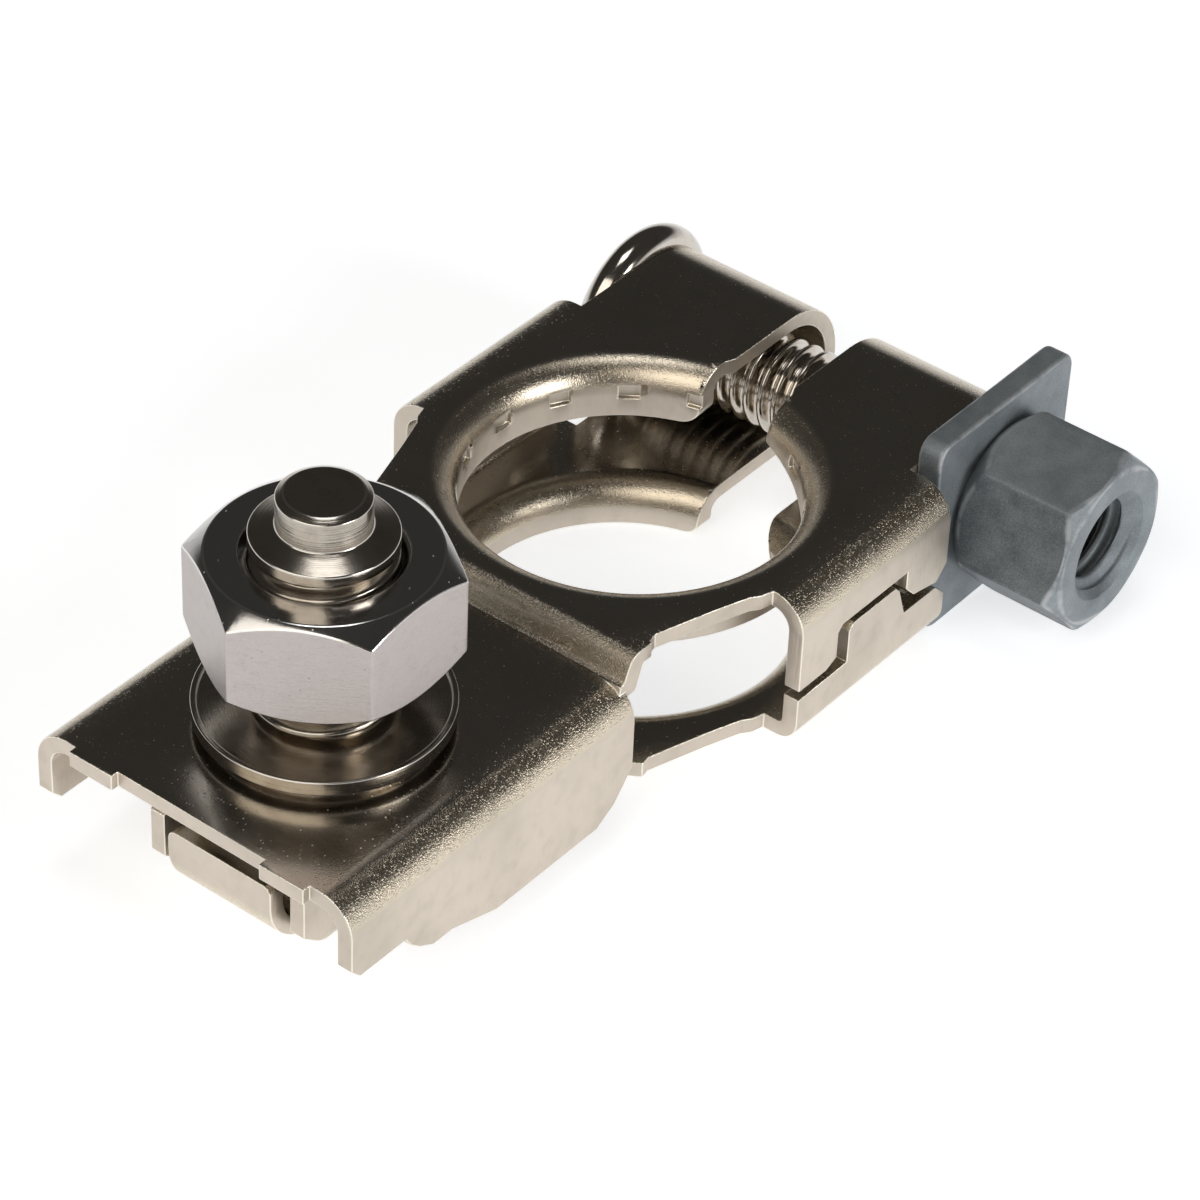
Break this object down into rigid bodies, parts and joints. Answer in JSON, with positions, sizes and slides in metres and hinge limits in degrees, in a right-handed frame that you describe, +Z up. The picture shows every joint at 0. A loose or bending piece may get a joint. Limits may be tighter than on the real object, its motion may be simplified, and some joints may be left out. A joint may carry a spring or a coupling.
{
  "type": "battery terminal clamp",
  "caption": "Pressed sheet clamp for a round battery post, with ears closed by a cross bolt and a threaded stud on its tail for a cable lug.",
  "frame": {"origin": "on the axis of the post bore, at the lower rim of the lower collar", "axes": "+Z up along the bore, +X towards the clamp nut, +Y from the cable stud to the ears"},
  "size_m": [0.0358, 0.0605, 0.0247],
  "materials": {
    "plated_sheet": "satin nickel plate",
    "stud_steel": "turned and plated",
    "bright_nut": "bright plate",
    "polished_bolt": "polished plate",
    "grey_coating": "matt zinc flake"
  },
  "bodies": {
    "terminal": {"clamp_body": "plated_sheet", "cable_stud": "stud_steel", "clamp_bolt": "polished_bolt"},
    "washer": {"square_washer": "grey_coating"},
    "closing_nut": {"clamp_nut": "grey_coating"},
    "lug_nut": {"stud_nut": "bright_nut"}
  },
  "joints": [
    {"name": "washer_slide", "type": "slide", "parent": "terminal", "child": "washer", "axis": [1, 0, 0], "range_m": [0, 0.005]},
    {"name": "clamp_nut_turn", "type": "hinge", "parent": "washer", "child": "closing_nut", "pos_m": [0.0132, 0.0175, 0.0064], "axis": [1, 0, 0], "range_deg": [0, 1800]},
    {"name": "stud_nut_turn", "type": "hinge", "parent": "terminal", "child": "lug_nut", "pos_m": [0, -0.0257, 0.0145], "axis": [0, 0, 1], "range_deg": [-950, 2200]}
  ],
  "couplings": [
    {"joint": "clamp_nut_turn", "follows": "washer_slide", "rad_per_m": 6283.2}
  ]
}
